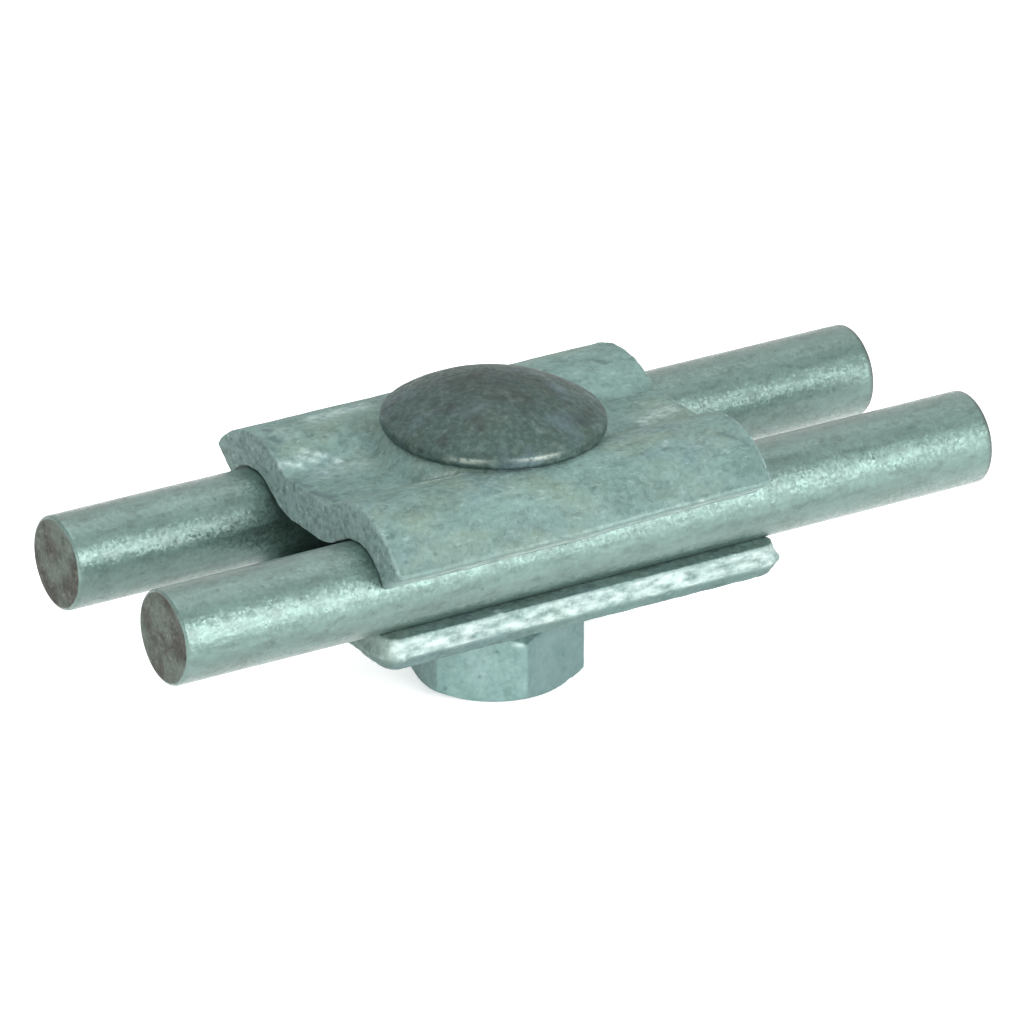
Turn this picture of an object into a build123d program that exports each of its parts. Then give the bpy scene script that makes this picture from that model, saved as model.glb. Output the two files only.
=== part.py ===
"""Parallel connector: two pressed steel clamp plates on one square-neck bolt, holding two round conductors.

Millimetres, +Z up. The origin is the centre of the nut's lower face, on the bolt's axis.
+X runs along the conductors and -Y is the front, where the near conductor lies.
"""
from build123d import *
import os
from math import asin, cos, radians, sin, sqrt, tan

# Conductors: round galvanised steel wire, cut to short lengths
rod_diameter = 10.0
rod_end_round = 0.3
front_rod_left, front_rod_right = 45.65, 52.55
rear_rod_left, rear_rod_right = 46.3, 51.7

# Bolt: mushroom head, square neck, metric coarse thread
bolt_diameter = 10.0
thread_allowance = 0.15
head_diameter = 23.8
head_height = 5.2
head_rim = 1.3
head_edge_round = 0.45
neck_width = 10.4
neck_height = 6.0
tip_recess = 0.3
tip_chamfer = 1.0

# Nut and spring washer
nut_across_flats = 16.8
nut_height = 8.0
nut_chamfer_share = 0.95
nut_chamfer_angle = 30.0
nut_corner_angle = 20.0
nut_bore_chamfer = 0.6
nut_thread_gap = 0.05
washer_thickness = 2.5
washer_wire_width = 3.9
washer_room = 0.15
washer_slot = 1.1
washer_slot_angle = 128.0
washer_slot_slant = 20.0

# Lower clamp plate: a flat strip with two shallow coined grooves
lower_length = 48.4
lower_offset = 2.3
lower_thickness = 3.8
lower_overhang = 4.5
lower_corner_round = 2.2
lower_edge_round = 0.8
lower_groove_depth = 0.3
lower_hole_room = 0.5

# Upper clamp plate: two arched channels, a flat valley and a round seat for the head
upper_length = 45.4
upper_thickness = 4.0
upper_edge_round = 0.7
lip_angle = 33.0
lip_round = 0.9
channel_room = 1.2
channel_slope_angle = 20.0
valley_depth = 2.2
seat_rise = 0.1
seat_overhang = 0.7
seat_flank = 1.9
neck_room = 0.3

# Clearances between the pieces
shank_room = 0.8
lower_rod_gap = 0.05
upper_rod_gap = 0.1

# Places that follow from the sizes
rod_radius = rod_diameter / 2
shank_radius = (bolt_diameter - thread_allowance) / 2
rod_y = rod_radius + bolt_diameter / 2 + shank_room
lower_bottom = nut_height + washer_thickness
lower_top = lower_bottom + lower_thickness
rod_z = lower_top - lower_groove_depth + lower_rod_gap + rod_radius
channel_radius = rod_radius + channel_room
channel_z = rod_z + rod_radius + upper_rod_gap - channel_radius
arch_radius = channel_radius + upper_thickness
arch_top = channel_z + arch_radius
valley_top = arch_top - valley_depth
valley_bottom = valley_top - upper_thickness
head_seat = arch_top + seat_rise


def arch_point(side: int, radius: float, angle: float) -> tuple[float, float]:
    """Return the (y, z) of a point on a channel's circle, its angle measured from the outer horizontal."""
    return side * (rod_y + radius * cos(radians(angle))), channel_z + radius * sin(radians(angle))


def cone(bottom_radius: float, top_radius: float, bottom: float, top: float) -> Part:
    """Return an upright cone frustum on the bolt's axis."""
    return Pos(0, 0, (bottom + top) / 2) * Cone(bottom_radius, top_radius, top - bottom)


def cylinder(radius: float, bottom: float, top: float) -> Part:
    """Return an upright cylinder on the bolt's axis."""
    return Pos(0, 0, (bottom + top) / 2) * Cylinder(radius, top - bottom)


def upper_section() -> Face:
    """Return the section of the upper plate across the conductors: lips, arches, slopes and valley."""
    slope_start = 90 + channel_slope_angle
    crest = 90
    crease_rise = valley_top - channel_z
    crease_y = rod_y - sqrt(arch_radius**2 - crease_rise**2)
    slope_y, slope_z = arch_point(1, channel_radius, slope_start)
    floor_y = slope_y - (slope_z - valley_bottom) / tan(radians(channel_slope_angle))
    lines = [Line((-crease_y, valley_top), (crease_y, valley_top)),
             Line((-floor_y, valley_bottom), (floor_y, valley_bottom))]
    for side in (-1, 1):
        outer_tip = arch_point(side, arch_radius, lip_angle)
        inner_tip = arch_point(side, channel_radius, lip_angle)
        slope_top = arch_point(side, channel_radius, slope_start)
        lines += [
            ThreePointArc((side * crease_y, valley_top), arch_point(side, arch_radius, crest), outer_tip),
            Line(outer_tip, inner_tip),
            ThreePointArc(inner_tip, arch_point(side, channel_radius, crest), slope_top),
            Line(slope_top, (side * floor_y, valley_bottom)),
        ]
    section = make_face(lines)
    lips = section.vertices().filter_by(lambda corner: abs(corner.X) > rod_y + channel_radius / 2)
    return fillet(lips, min(lip_round, upper_thickness / 4))


def upper_clamp_plate() -> Part:
    """Return the upper plate: the section drawn out along the conductors, with the head's raised seat."""
    section = Plane.YZ * upper_section()
    plate = extrude(section, upper_length / 2, both=True)
    ends = plate.faces().filter_by(Axis.X)
    plate = fillet(ends.edges(), min(upper_edge_round, upper_thickness / 5))
    seat_radius = head_diameter / 2 - seat_overhang
    base_radius = seat_radius + seat_flank
    recess_top = head_seat - upper_thickness
    plate += cone(base_radius, seat_radius, valley_top, head_seat)
    plate -= cone(base_radius - upper_thickness, seat_radius - upper_thickness, valley_bottom, recess_top)
    hole_width = neck_width + 2 * neck_room
    hole = Box(hole_width, hole_width, head_seat - valley_bottom)
    return plate - Pos(0, 0, (head_seat + valley_bottom) / 2) * hole


def lower_clamp_plate() -> Part:
    """Return the lower plate: a strip with rounded corners, its bolt hole and two shallow grooves."""
    width = 2 * (rod_y + lower_overhang)
    plate = Box(lower_length, width, lower_thickness)
    plate = fillet(plate.edges().filter_by(Axis.Z), lower_corner_round)
    rims = plate.faces().filter_by(Axis.Z).edges()
    plate = Pos(lower_offset, 0, (lower_bottom + lower_top) / 2) * fillet(rims, lower_edge_round)
    groove_z = lower_top - lower_groove_depth + channel_radius
    for side in (-1, 1):
        groove = Rot(0, 90, 0) * Cylinder(channel_radius, 2 * lower_length)
        plate -= Pos(lower_offset, side * rod_y, groove_z) * groove
    return plate - cylinder(bolt_diameter / 2 + lower_hole_room, lower_bottom, lower_top)


def mushroom_head_bolt() -> Part:
    """Return the bolt: domed head, square neck and plain shank with a chamfered tip."""
    rim_radius = head_diameter / 2
    dome_rise = head_height - head_rim
    dome_radius = (rim_radius**2 + dome_rise**2) / (2 * dome_rise)
    half_angle = asin(rim_radius / dome_radius) / 2
    crown = head_seat + head_height
    dome_middle = (dome_radius * sin(half_angle), crown - dome_radius * (1 - cos(half_angle)))
    outline = [
        Line((0, head_seat), (rim_radius, head_seat)),
        Line((rim_radius, head_seat), (rim_radius, head_seat + head_rim)),
        ThreePointArc((rim_radius, head_seat + head_rim), dome_middle, (0, crown)),
        Line((0, crown), (0, head_seat)),
    ]
    profile = make_face(outline)
    rim = profile.vertices().filter_by(lambda corner: corner.X > rim_radius / 2)
    profile = fillet(rim, head_edge_round)
    head = revolve(Plane.XZ * profile, Axis.Z)
    neck = Pos(0, 0, head_seat - neck_height / 2) * Box(neck_width, neck_width, neck_height)
    shank = cylinder(shank_radius, tip_recess + tip_chamfer, head_seat)
    tip = cone(shank_radius - tip_chamfer, shank_radius, tip_recess, tip_recess + tip_chamfer)
    return head + neck + shank + tip


def hex_nut() -> Part:
    """Return the nut: a hexagon with both faces chamfered and its bore countersunk at each end."""
    hexagon = RegularPolygon(nut_across_flats / 2, 6, major_radius=False, rotation=nut_corner_angle)
    blank = extrude(hexagon, nut_height)
    corner_radius = nut_across_flats / 2 / cos(radians(30))
    face_radius = nut_chamfer_share * nut_across_flats / 2
    chamfer_height = (corner_radius - face_radius) * tan(radians(nut_chamfer_angle))
    turned = cylinder(corner_radius, chamfer_height, nut_height - chamfer_height)
    turned += cone(face_radius, corner_radius, 0, chamfer_height)
    turned += cone(corner_radius, face_radius, nut_height - chamfer_height, nut_height)
    bore_radius = shank_radius + nut_thread_gap
    mouth_radius = bore_radius + nut_bore_chamfer
    nut = (blank & turned) - cylinder(bore_radius, 0, nut_height)
    nut -= cone(mouth_radius, bore_radius, 0, nut_bore_chamfer)
    return nut - cone(bore_radius, mouth_radius, nut_height - nut_bore_chamfer, nut_height)


def spring_washer() -> Part:
    """Return the split washer, pressed flat between the lower plate and the nut."""
    bore_radius = bolt_diameter / 2 + washer_room
    outer_radius = bore_radius + washer_wire_width
    ring = cylinder(outer_radius, nut_height, lower_bottom) - cylinder(bore_radius, nut_height, lower_bottom)
    slot = Rot(washer_slot_slant, 0, 0) * Box(2 * washer_wire_width, washer_slot, 3 * washer_thickness)
    slot = Pos((bore_radius + outer_radius) / 2, 0, (nut_height + lower_bottom) / 2) * slot
    return ring - Rot(0, 0, washer_slot_angle) * slot


def conductor_rod(side: int, left: float, right: float) -> Part:
    """Return one conductor, from the left reach to the right reach, on its side of the bolt."""
    rod = Rot(0, 90, 0) * Cylinder(rod_radius, left + right)
    rod = fillet(rod.edges().filter_by(GeomType.CIRCLE), min(rod_end_round, rod_radius / 4))
    return Pos((right - left) / 2, side * rod_y, rod_z) * rod


def main() -> None:
    """Build every piece and write each to its own file."""
    pieces = {
        "upper_clamp_plate": upper_clamp_plate(),
        "lower_clamp_plate": lower_clamp_plate(),
        "mushroom_head_bolt": mushroom_head_bolt(),
        "hex_nut": hex_nut(),
        "spring_washer": spring_washer(),
        "conductor_rod_front": conductor_rod(-1, front_rod_left, front_rod_right),
        "conductor_rod_rear": conductor_rod(1, rear_rod_left, rear_rod_right),
    }
    os.makedirs("parts", exist_ok=True)
    for name, piece in pieces.items():
        export_step(piece, f"parts/{name}.step")


main()
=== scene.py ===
"""Parallel connector: two pressed clamp plates on one bolt, with nut, spring washer and two conductors.

Sizes are millimetres until a mesh is made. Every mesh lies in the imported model's frame: the origin is the
centre of the nut's foot, +X runs along the conductors, -Y is the front and +Z is up.
"""
from __future__ import annotations

import logging
import math
from dataclasses import dataclass, field
from enum import Enum

import bpy
import numpy as np
from mathutils import Matrix

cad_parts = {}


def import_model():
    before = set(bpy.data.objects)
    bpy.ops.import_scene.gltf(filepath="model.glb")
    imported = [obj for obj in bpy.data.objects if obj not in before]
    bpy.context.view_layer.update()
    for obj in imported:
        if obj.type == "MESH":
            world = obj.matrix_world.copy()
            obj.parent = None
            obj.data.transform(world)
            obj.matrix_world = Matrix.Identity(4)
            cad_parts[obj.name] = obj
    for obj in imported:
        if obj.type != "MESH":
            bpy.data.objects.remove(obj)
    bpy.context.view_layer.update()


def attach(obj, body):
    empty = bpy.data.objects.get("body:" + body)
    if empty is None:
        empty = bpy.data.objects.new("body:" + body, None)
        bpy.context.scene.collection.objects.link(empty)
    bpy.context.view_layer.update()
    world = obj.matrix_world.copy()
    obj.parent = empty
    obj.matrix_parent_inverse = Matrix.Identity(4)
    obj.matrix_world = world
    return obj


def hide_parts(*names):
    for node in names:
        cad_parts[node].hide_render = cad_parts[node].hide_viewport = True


LOG = logging.getLogger("parallel_connector")
MM = 0.001
FULL_TURN = 2 * math.pi
CELL_PRIMES = np.array([73856093, 19349663, 83492791])
SEED_PRIME = 7919
MIX_PRIME = 1274126177
LOW_BITS = 0xFFFF
Array = np.ndarray
Point = tuple[float, float, float]
Tree = bpy.types.NodeTree
Socket = bpy.types.NodeSocket


class Body(Enum):
    """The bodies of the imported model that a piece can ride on."""

    LOWER_HALF = "lower_half"
    UPPER_HALF = "upper_half"
    NUT = "nut"


class Slot(Enum):
    """The record's material slots."""

    CLAMP_PLATE = "clamp_plate"
    BOLT = "bolt"
    NUT = "nut"
    WASHER = "washer"
    CONDUCTOR = "conductor"


def smooth_step(values: Array, low: float, high: float) -> Array:
    """Return 0 below low and 1 above high, with an even S-curve between them."""
    share = np.clip((values - low) / (high - low), 0, 1)
    return share * share * (3 - 2 * share)


def smooth_max(first: Array, second: Array, width: float) -> Array:
    """Return the larger of two heights, blended over a difference of width so that no crease is left."""
    share = np.clip(0.5 + (first - second) / (2 * width), 0, 1)
    return second + (first - second) * share + width * share * (1 - share)


def bell(values: Array, middle: float, width: float) -> Array:
    """Return 1 at the middle, falling off evenly to both sides over about the width."""
    return np.exp(-(((values - middle) / width) ** 2))


def cell_value(cells: Array, seed: int) -> Array:
    """Return a repeatable number from -1 to 1 for each cell of a lattice.

    The cell's three whole numbers, each times a prime, and the seed are mixed bit by bit, and the lowest
    sixteen bits are spread over the range.

    Args:
        cells: The cells' whole numbers, three to a row.
        seed: Which set of values it is.

    Returns:
        One value for each cell.
    """
    first, second, third = (cells * CELL_PRIMES).T
    mixed = first ^ second ^ third ^ seed * SEED_PRIME
    mixed = (mixed ^ (mixed >> 13)) * MIX_PRIME
    mixed = mixed ^ (mixed >> 16)
    return (mixed & LOW_BITS) / (LOW_BITS / 2) - 1


def soft_noise(points: Array, size: float, seed: int) -> Array:
    """Return smooth noise from -1 to 1.

    Each point lies in a cell of a lattice of that size. The values at the cell's eight corners are
    averaged, each weighted by how near the point is to it on a smooth curve.

    Args:
        points: Places in millimetres, one row each.
        size: The lattice's spacing, about the width of one bump.
        seed: Which noise it is.

    Returns:
        One value for each point.
    """
    scaled = points / size
    base = np.floor(scaled).astype(np.int64)
    share = scaled - base
    share = share * share * (3 - 2 * share)
    total = np.zeros(len(points))
    for corner in np.ndindex(2, 2, 2):
        offset = np.array(corner)
        weight = np.where(offset, share, 1 - share).prod(axis=1)
        total += weight * cell_value(base + offset, seed)
    return total


def rough_noise(points: Array, size: float, seed: int, layers: int = 3) -> Array:
    """Return noise in layers, each half the size and half the height of the one before."""
    return sum(soft_noise(points, size / 2**n, seed + n) / 2**n for n in range(layers))


@dataclass(frozen=True)
class Waves:
    """A layer of uneven surface: its height and the width of its bumps in millimetres, and its seed."""

    height: float
    size: float
    seed: int

    def at(self, points: Array) -> Array:
        """Return the layer's height at each point."""
        return self.height * rough_noise(points, self.size, self.seed)


@dataclass(frozen=True)
class Pits:
    """Scattered pits: their depth and width in millimetres, their seed and the noise that they start at."""

    depth: float
    size: float
    seed: int
    level: float
    full_level: float = 0.95

    def at(self, points: Array) -> Array:
        """Return the pits' height at each point, 0 between them."""
        noise = rough_noise(points, self.size, self.seed)
        return -self.depth * smooth_step(noise, self.level, self.full_level)


def summed(layers: tuple[Waves, ...], points: Array) -> Array:
    """Return the height of several layers at each point."""
    return sum(layer.at(points) for layer in layers)


def degrees_around(points: Array) -> Array:
    """Return each point's angle around the bolt, from 0 to 360 degrees."""
    return np.degrees(np.arctan2(points[:, 1], points[:, 0])) % 360


def rounded_path(corners: list[Point] | tuple[Point, ...], step: float, arc_parts: int = 5) -> Array:
    """Return a path through corners, each given as its two coordinates and its rounding.

    A corner with a rounding becomes the arc that touches both of its runs, and a straight run is divided
    into equal parts no longer than step.

    Args:
        corners: The corners in order.
        step: The longest part of a straight run.
        arc_parts: The parts of each arc.

    Returns:
        The path's points, one row each.
    """
    places = np.array([corner[:2] for corner in corners])
    path = [places[:1]]
    start = places[0]
    for index in range(1, len(corners)):
        here = places[index]
        rounding = corners[index][2]
        arc = here[None, :]
        if index + 1 < len(corners) and rounding > 0:
            back = (places[index - 1] - here) / np.linalg.norm(places[index - 1] - here)
            ahead = (places[index + 1] - here) / np.linalg.norm(places[index + 1] - here)
            half = math.acos(float(np.clip(back @ ahead, -1, 1))) / 2
            reach = rounding / math.tan(half)
            middle = here + (back + ahead) / np.linalg.norm(back + ahead) * rounding / math.sin(half)
            first, last = here + back * reach - middle, here + ahead * reach - middle
            turn = math.pi - 2 * half
            share = np.linspace(0, 1, arc_parts + 1)[:, None]
            swing = np.sin((1 - share) * turn) * first + np.sin(share * turn) * last
            arc = middle + swing / math.sin(turn)
        parts = max(1, math.ceil(np.linalg.norm(arc[0] - start) / step))
        share = np.linspace(0, 1, parts + 1)[1:, None]
        path += [start + (arc[0] - start) * share, arc[1:]]
        start = arc[-1]
    return np.concatenate(path)


@dataclass
class Shell:
    """A closed surface: points in millimetres, faces as rows of point numbers, and masks on the points."""

    points: Array
    quads: Array
    triangles: Array = field(default_factory=lambda: np.zeros((0, 3), np.int64))
    masks: dict[str, Array] = field(default_factory=dict)

    def normals(self) -> Array:
        """Add up the normals of each point's faces, larger faces counting more.

        Returns:
            The unit normal at each point.
        """
        total = np.zeros_like(self.points)
        for faces in (self.quads, self.triangles):
            corner = self.points[faces]
            if faces.shape[1] == 3:
                area = np.cross(corner[:, 1] - corner[:, 0], corner[:, 2] - corner[:, 0])
            else:
                area = np.cross(corner[:, 2] - corner[:, 0], corner[:, 3] - corner[:, 1])
            for column in range(faces.shape[1]):
                np.add.at(total, faces[:, column], area)
        length = np.linalg.norm(total, axis=1, keepdims=True)
        return total / np.maximum(length, 1e-12)

    def raise_by(self, heights: Array) -> None:
        """Move each point along its normal by its height in millimetres."""
        self.points = self.points + self.normals() * heights[:, None]

    def drop_unused(self) -> None:
        """Remove the points that no face uses."""
        used = np.unique(np.concatenate([self.quads.ravel(), self.triangles.ravel()]))
        number = np.full(len(self.points), -1)
        number[used] = np.arange(len(used))
        self.points = self.points[used]
        self.quads, self.triangles = number[self.quads], number[self.triangles]
        self.masks = {name: values[used] for name, values in self.masks.items()}

    def build(self, name: str) -> bpy.types.Object:
        """Make the mesh and its object at the origin.

        Args:
            name: The object's name.

        Returns:
            The new object, smooth shaded.
        """
        self.drop_unused()
        mesh = bpy.data.meshes.new(name)
        loops = np.concatenate([self.quads.ravel(), self.triangles.ravel()])
        starts = np.concatenate([
            np.arange(len(self.quads)) * 4,
            len(self.quads) * 4 + np.arange(len(self.triangles)) * 3,
        ])
        mesh.vertices.add(len(self.points))
        mesh.vertices.foreach_set("co", (self.points * MM).ravel().astype(np.float32))
        mesh.loops.add(len(loops))
        mesh.loops.foreach_set("vertex_index", loops.astype(np.int32))
        mesh.polygons.add(len(starts))
        mesh.polygons.foreach_set("loop_start", starts.astype(np.int32))
        mesh.update(calc_edges=True)
        mesh.validate()
        mesh.shade_smooth()
        for mask, values in self.masks.items():
            attribute = mesh.attributes.new(mask, "FLOAT", "POINT")
            attribute.data.foreach_set("value", values.astype(np.float32))
        piece = bpy.data.objects.new(name, mesh)
        bpy.context.scene.collection.objects.link(piece)
        return piece


def lattice_faces(rows: int, columns: int, close_rows: bool, close_columns: bool) -> Array:
    """Return the quads of a lattice numbered row by row.

    Each quad runs from a point to the next row, to the next column there, and back, so it faces the side
    that the row direction crossed with the column direction points to.

    Args:
        rows: How many rows of points.
        columns: How many points a row has.
        close_rows: Whether the last row joins the first.
        close_columns: Whether the last column joins the first.

    Returns:
        The faces, four point numbers each.
    """
    row = np.arange(rows if close_rows else rows - 1)[:, None]
    column = np.arange(columns if close_columns else columns - 1)[None, :]
    next_row, next_column = (row + 1) % rows, (column + 1) % columns
    corners = [row * columns + column, next_row * columns + column,
               next_row * columns + next_column, row * columns + next_column]
    return np.stack([corner.ravel() for corner in corners], axis=1)


def pole_faces(ring: Array, pole: int) -> Array:
    """Return the triangles from a pole to each two neighbours of a closed ring, pole first."""
    return np.stack([np.full(len(ring), pole), ring, np.roll(ring, -1)], axis=1)


def column_angles(columns: int) -> Array:
    """Return evenly spaced angles of one full turn."""
    return np.arange(columns) * FULL_TURN / columns


def spun_points(radius: Array, height: Array) -> Array:
    """Return points around the upright axis, row by row.

    Args:
        radius: Distance from the axis, a row for each level and a column for each angle.
        height: Height of the same points.

    Returns:
        The points.
    """
    angle = column_angles(radius.shape[1])[None, :]
    points = np.stack([radius * np.cos(angle), radius * np.sin(angle), height], axis=2)
    return points.reshape(-1, 3)


def poled_shell(points: Array, rows: int, columns: int, first: Array, last: Array) -> Shell:
    """Close a lattice of rings with a pole at each end.

    Args:
        points: The lattice's points, ring by ring.
        rows: How many rings.
        columns: How many points a ring has.
        first: The pole before the first ring.
        last: The pole after the last ring.

    Returns:
        The closed shell. The two poles are its last two points.
    """
    count = rows * columns
    quads = lattice_faces(rows, columns, close_rows=False, close_columns=True)
    start = pole_faces(np.arange(columns), count)
    end = pole_faces(count - columns + np.arange(columns), count + 1)[:, ::-1]
    closed = np.concatenate([points, first[None, :], last[None, :]])
    return Shell(closed, quads, np.concatenate([start, end]))


@dataclass(frozen=True)
class Slab:
    """A plate drawn flat: a rounded rectangle with one hole in the middle and a profile around its edge.

    u runs along the conductors, v across them and h through the thickness, each from the middle. The edge
    is a path of corners from the top face to the bottom face: how far in from the outline, the height and
    the corner's rounding.
    """

    half_length: float
    half_width: float
    thickness: float
    corner_round: float
    edge: tuple[Point, ...]
    hole_half: float
    step: float
    edge_step: float = 0.35
    corner_lines: int = 5
    wall_rows: int = 6

    def lines(self, half: float) -> tuple[Array, Array]:
        """Return the lattice lines along one direction.

        Straight lines have their place and a share of 0. The lines of the corner zone share the place where
        the corner's circle has its middle, and their share runs from 0 to 1 out to the edge.

        Args:
            half: Half the slab's size in that direction.

        Returns:
            The lines' places and their shares.
        """
        inner = half - self.corner_round
        beside = np.linspace(self.hole_half, inner, math.ceil((inner - self.hole_half) / self.step) + 1)[1:]
        across = np.linspace(-self.hole_half, self.hole_half, math.ceil(2 * self.hole_half / self.step) + 1)
        share = np.linspace(0, 1, self.corner_lines + 1)[1:]
        edge = np.full(self.corner_lines, inner)
        places = np.concatenate([-edge, -beside[::-1], across, beside, edge])
        straight = np.zeros(len(places) - 2 * self.corner_lines)
        return places, np.concatenate([-share[::-1], straight, share])

    def lattice(self, inset: float) -> tuple[Array, Array]:
        """Return u and v of the whole lattice, its outline drawn in by inset.

        A point of the corner zone is its share of a square, moved onto a quarter disc: each share is
        multiplied by the square root of one less half the other share's square.

        Args:
            inset: How far the outline is drawn in.

        Returns:
            u and v, a row for each line along and a column for each line across.
        """
        place_u, share_u = (line[:, None] for line in self.lines(self.half_length))
        place_v, share_v = (line[None, :] for line in self.lines(self.half_width))
        corner = self.corner_round - inset
        u = place_u + corner * share_u * np.sqrt(1 - share_v**2 / 2)
        v = place_v + corner * share_v * np.sqrt(1 - share_u**2 / 2)
        return u, v

    def outline(self) -> tuple[Array, Array, Array]:
        """Walk round the outline anticlockwise.

        Returns:
            The outline's lattice numbers and its outward directions in u and v.
        """
        share_u, share_v = self.lines(self.half_length)[1], self.lines(self.half_width)[1]
        along, across = np.arange(len(share_u)), np.arange(len(share_v))
        last_u, last_v = along[-1], across[-1]
        index_u = np.concatenate([along, 0 * across[1:-1] + last_u, along[::-1], 0 * across[1:-1]])
        index_v = np.concatenate([0 * along, across[1:-1], 0 * along + last_v, across[-2:0:-1]])
        out_u = share_u[index_u] * np.sqrt(1 - share_v[index_v] ** 2 / 2)
        out_v = share_v[index_v] * np.sqrt(1 - share_u[index_u] ** 2 / 2)
        return index_u * len(across) + index_v, out_u, out_v

    def hole_ring(self) -> tuple[Array, Array]:
        """Walk round the hole anticlockwise, on the lattice lines that lie on its four sides.

        Returns:
            The ring's lattice numbers and a mask of the faces inside it.
        """
        (place_u, share_u), (place_v, share_v) = self.lines(self.half_length), self.lines(self.half_width)
        low_u, high_u = np.flatnonzero(np.isclose(np.abs(place_u), self.hole_half) & (share_u == 0))
        low_v, high_v = np.flatnonzero(np.isclose(np.abs(place_v), self.hole_half) & (share_v == 0))
        along, across = np.arange(low_u, high_u), np.arange(low_v, high_v)
        index_u = np.concatenate([along, 0 * across + high_u, along[::-1] + 1, 0 * across + low_u])
        index_v = np.concatenate([0 * along + low_v, across, 0 * along + high_v, across[::-1] + 1])
        row, column = np.meshgrid(np.arange(len(place_u) - 1), np.arange(len(place_v) - 1), indexing="ij")
        inside = (row >= low_u) & (row < high_u) & (column >= low_v) & (column < high_v)
        return index_u * len(place_v) + index_v, inside.ravel()

    def flat(self) -> tuple[Array, Array, Array]:
        """Build the slab's points and faces before it is bent.

        Returns:
            The points as u, v and h, the quads, and a mask that is 1 on the edge and 0 on the broad faces.
        """
        path = rounded_path(self.edge, self.edge_step)
        top_u, top_v = self.lattice(path[0, 0])
        bottom_u, bottom_v = self.lattice(path[-1, 0])
        full_u, full_v = self.lattice(0)
        rows, columns = top_u.shape
        count = rows * columns
        half = self.thickness / 2
        top = np.stack([top_u, top_v, np.full_like(top_u, half)], axis=2).reshape(-1, 3)
        bottom = np.stack([bottom_u, bottom_v, np.full_like(top_u, -half)], axis=2).reshape(-1, 3)
        loop, out_u, out_v = self.outline()
        inset, height = path[1:-1, :1], path[1:-1, 1:]
        rim_u = full_u.ravel()[loop][None, :] - inset * out_u[None, :]
        rim_v = full_v.ravel()[loop][None, :] - inset * out_v[None, :]
        rim = np.stack([rim_u, rim_v, height + 0 * rim_u], axis=2).reshape(-1, 3)
        hole, inside = self.hole_ring()
        share = np.linspace(0, 1, self.wall_rows + 2)[1:-1]
        wall = (top[hole][None] + (bottom[hole] - top[hole])[None] * share[:, None, None]).reshape(-1, 3)
        face = lattice_faces(rows, columns, close_rows=False, close_columns=False)[~inside]
        first_wall = 2 * count + len(rim)
        rim_numbers = np.arange(2 * count, first_wall).reshape(len(inset), -1)
        rim_rows = np.concatenate([loop[None, :], rim_numbers, count + loop[None, :]])
        wall_numbers = first_wall + np.arange(len(wall)).reshape(self.wall_rows, -1)
        wall_rows = np.concatenate([hole[None, :], wall_numbers, count + hole[None, :]])
        sides = lattice_faces(*rim_rows.shape, close_rows=False, close_columns=True)
        walls = lattice_faces(*wall_rows.shape, close_rows=False, close_columns=True)[:, ::-1]
        quads = np.concatenate([face, face[:, ::-1] + count, rim_rows.ravel()[sides],
                                wall_rows.ravel()[walls]])
        points = np.concatenate([top, bottom, rim, wall])
        around = np.zeros(len(points))
        around[2 * count:first_wall] = 1
        around[loop], around[count + loop] = 0.5, 0.5
        return points, quads, around


def linear_colour(code: str) -> tuple[float, float, float, float]:
    """Return the linear colour of an sRGB hex value."""
    parts = [int(code[place:place + 2], 16) / 255 for place in (1, 3, 5)]
    return (*[part / 12.92 if part <= 0.04045 else ((part + 0.055) / 1.055) ** 2.4 for part in parts], 1.0)


def add_node(tree: Tree, kind: str, inputs: dict | None = None, output: int | str = 0,
             **settings: object) -> Socket | None:
    """Add one node, set its properties, and set or link its inputs.

    Args:
        tree: The node tree.
        kind: The node's type.
        inputs: A value or another node's output for each input, by name or number.
        output: The output that is wanted.
        **settings: The node's properties.

    Returns:
        The output, or None for a node that ends a tree.
    """
    node = tree.nodes.new(kind)
    for name, value in settings.items():
        setattr(node, name, value)
    for socket, value in (inputs or {}).items():
        if isinstance(value, Socket):
            tree.links.new(value, node.inputs[socket])
        else:
            node.inputs[socket].default_value = value
    return node.outputs[output] if len(node.outputs) else None


def scale_of(size_mm: float) -> float:
    """Return the texture scale at which a pattern repeats about every size_mm on Object coordinates."""
    return 1 / (size_mm * MM)


@dataclass(frozen=True)
class Pattern:
    """A pattern over a surface, with about size_mm from one of its features to the next."""

    size_mm: float

    def draw(self, tree: Tree, place: Socket) -> Socket:
        """Return the pattern's value from 0 to 1 at each place."""
        raise NotImplementedError


@dataclass(frozen=True)
class Patches(Pattern):
    """Irregular patches: cloudy noise that runs from 0 to 1 between two of its levels.

    The stretch is along the conductors, detail and breakup say how finely the patches are broken up, and
    the shift moves them along, so that no two layers lie on each other.
    """

    low: float = 0.3
    high: float = 0.7
    stretch: float = 1.0
    detail: float = 3.0
    shift_mm: float = 0.0
    breakup: float = 0.6

    def draw(self, tree: Tree, place: Socket) -> Socket:
        """Draw the pattern: noise on the stretched coordinates, cut to its two levels.

        Args:
            tree: The finish's node tree.
            place: The Object coordinates.

        Returns:
            A value from 0 to 1.
        """
        mapped = add_node(tree, "ShaderNodeMapping", {
            "Vector": place, "Location": (self.shift_mm * MM, 0, 0), "Scale": (1 / self.stretch, 1, 1)})
        noise = add_node(tree, "ShaderNodeTexNoise", {
            "Vector": mapped, "Scale": scale_of(self.size_mm), "Detail": self.detail,
            "Roughness": self.breakup})
        return add_node(tree, "ShaderNodeMapRange", {
            "Value": noise, "From Min": self.low, "From Max": self.high})


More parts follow.
